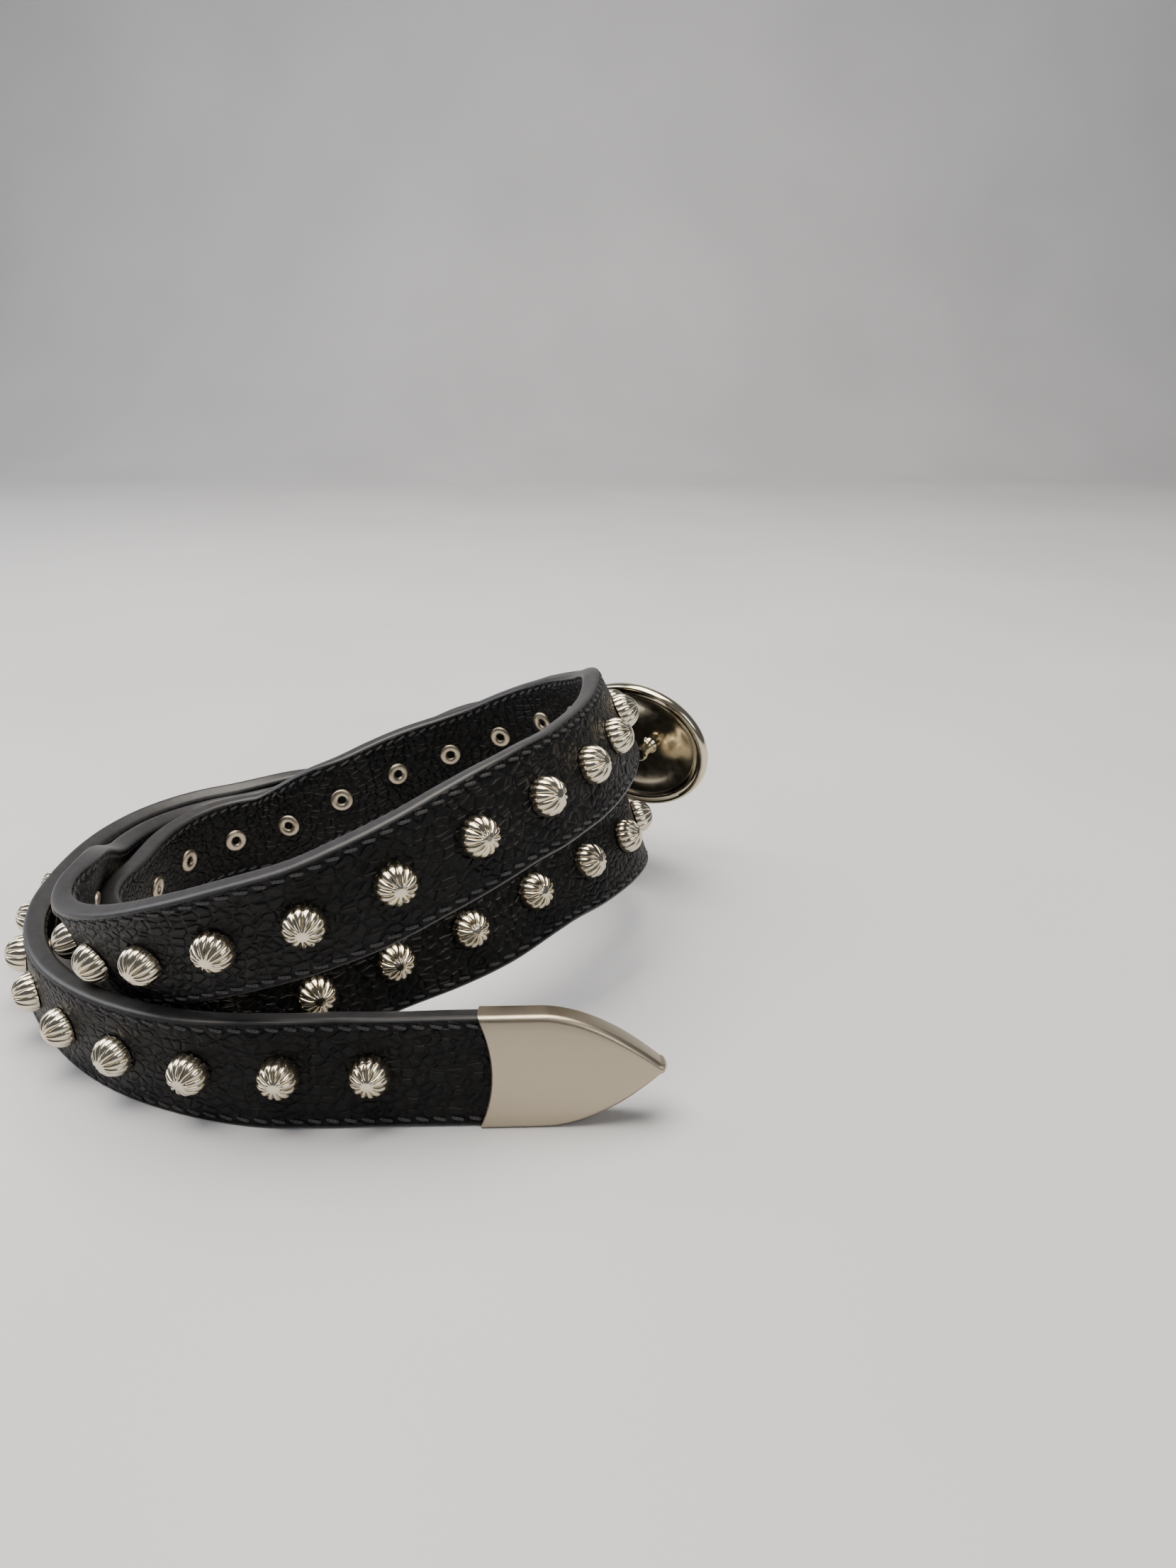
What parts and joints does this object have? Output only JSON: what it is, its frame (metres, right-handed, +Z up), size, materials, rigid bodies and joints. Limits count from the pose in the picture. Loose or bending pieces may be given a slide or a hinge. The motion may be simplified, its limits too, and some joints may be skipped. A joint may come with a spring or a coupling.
{
  "type": "studded belt",
  "caption": "Coiled leather belt with a row of domed fluted studs, pointed metal tip and oval plate buckle.",
  "frame": {"origin": "middle of the belt's bounding box in plan, on the surface that the coil stands on", "axes": "+Z up off that surface, across the strap's width; +X to the right along the straight front run, from the coil to the pointed tip; +Y from the front run to the back of the coil"},
  "size_m": [0.1819, 0.1618, 0.0723],
  "materials": {
    "leather": "black pebbled full-grain leather, low sheen, painted edges",
    "stud_metal": "polished nickel plate",
    "satin_nickel": "satin nickel plate"
  },
  "bodies": {
    "root": {"strap": "leather", "tip_cap": "satin_nickel", "buckle": "satin_nickel", "stud_01": "stud_metal", "stud_02": "stud_metal", "stud_03": "stud_metal", "stud_04": "stud_metal", "stud_05": "stud_metal", "stud_06": "stud_metal", "stud_07": "stud_metal", "stud_08": "stud_metal", "stud_09": "stud_metal", "stud_10": "stud_metal", "stud_11": "stud_metal", "stud_12": "stud_metal", "stud_13": "stud_metal", "stud_14": "stud_metal", "stud_15": "stud_metal", "stud_16": "stud_metal", "stud_17": "stud_metal", "stud_18": "stud_metal", "stud_19": "stud_metal", "stud_20": "stud_metal", "stud_21": "stud_metal", "stud_22": "stud_metal", "stud_23": "stud_metal", "stud_24": "stud_metal", "stud_25": "stud_metal", "stud_43": "stud_metal", "stud_44": "stud_metal", "stud_45": "stud_metal", "stud_46": "stud_metal", "stud_47": "stud_metal", "stud_48": "stud_metal", "stud_49": "stud_metal", "stud_50": "stud_metal", "stud_51": "stud_metal", "stud_52": "stud_metal", "stud_53": "stud_metal", "stud_54": "stud_metal", "stud_55": "stud_metal"}
  },
  "joints": []
}
